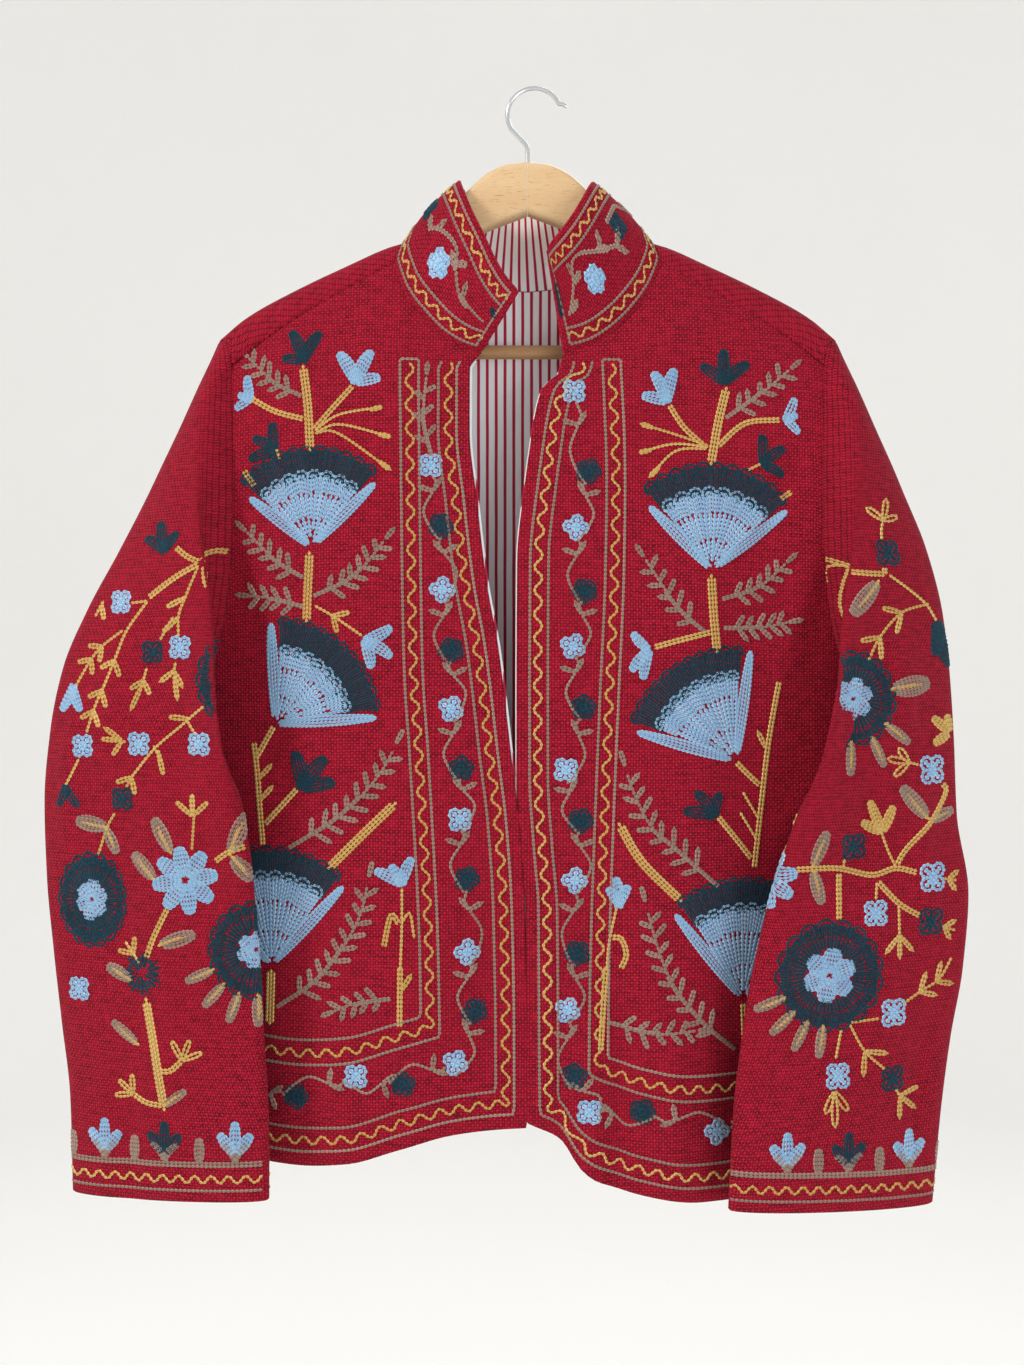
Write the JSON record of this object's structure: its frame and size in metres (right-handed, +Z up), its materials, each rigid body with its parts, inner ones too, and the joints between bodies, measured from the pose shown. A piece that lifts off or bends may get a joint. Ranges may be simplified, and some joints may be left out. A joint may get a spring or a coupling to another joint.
{
  "type": "suzani jacket on a wooden hanger",
  "caption": "Embroidered crimson cotton jacket with a stand collar, open front and long straight sleeves, hung on a wooden hanger with a wire hook and trouser bar.",
  "frame": {"origin": "inside top of the hanger's hook, where the whole object hangs", "axes": "+Z up, the long way; the front faces -Y, the thin way; +X to the right as seen from the front"},
  "size_m": [0.6436, 0.1136, 0.779],
  "materials": {
    "crimson_cotton": "coarse slubby plain weave",
    "striped_lining": "white cotton with crimson stripes",
    "embroidery_thread": "chain stitch in soft cotton thread",
    "beech": "pale satin beech",
    "stained_bar": "satin stained wood",
    "chromed_wire": "bright chrome"
  },
  "bodies": {
    "root": {"back": "crimson_cotton", "front_left": "crimson_cotton", "front_right": "crimson_cotton", "sleeve_left": "crimson_cotton", "sleeve_right": "crimson_cotton", "collar": "crimson_cotton", "back_lining": "striped_lining", "front_lining_left": "striped_lining", "front_lining_right": "striped_lining", "collar_lining": "striped_lining", "hanger_arm_left": "beech", "hanger_arm_right": "beech", "trouser_bar": "stained_bar", "hanger_hook": "chromed_wire"}
  },
  "joints": []
}
